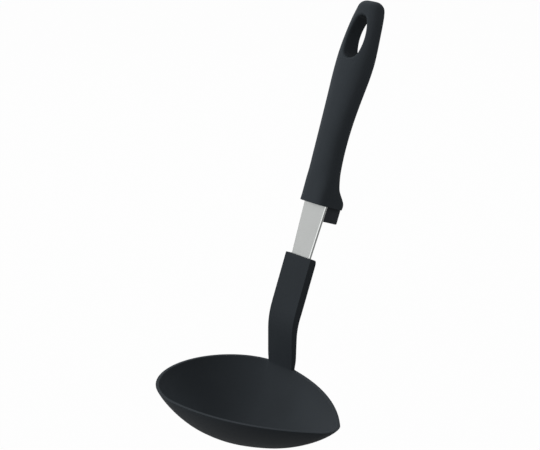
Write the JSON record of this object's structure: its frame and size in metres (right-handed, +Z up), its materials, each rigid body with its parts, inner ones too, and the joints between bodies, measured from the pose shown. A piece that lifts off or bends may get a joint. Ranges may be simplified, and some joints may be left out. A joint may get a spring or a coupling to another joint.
{
  "type": "ladle",
  "caption": "Ladle with a pouring tip on one side of its bowl, a flat steel tang, and a moulded handle with a hanging hole and a stop lug for a pot's rim.",
  "frame": {"origin": "middle of the hanging hole, on the middle plane of the tang, which is also the grip's", "axes": "+Z up and square to the bowl's rim, +X towards the pouring tip, +Y back, the way the handle leans"},
  "size_m": [0.1314, 0.1577, 0.2436],
  "materials": {
    "bowl_plastic": "dark grey heat-proof plastic with a fine satin grain",
    "steel": "stainless strip, satin faces brushed along its length, brighter bevelled edges",
    "core_plastic": "hard dark grey plastic, satin",
    "grip_plastic": "dark grey moulded plastic, soft satin"
  },
  "bodies": {
    "root": {"bowl_and_neck": "bowl_plastic", "tang": "steel", "handle_core": "core_plastic", "grip": "grip_plastic"}
  },
  "joints": []
}
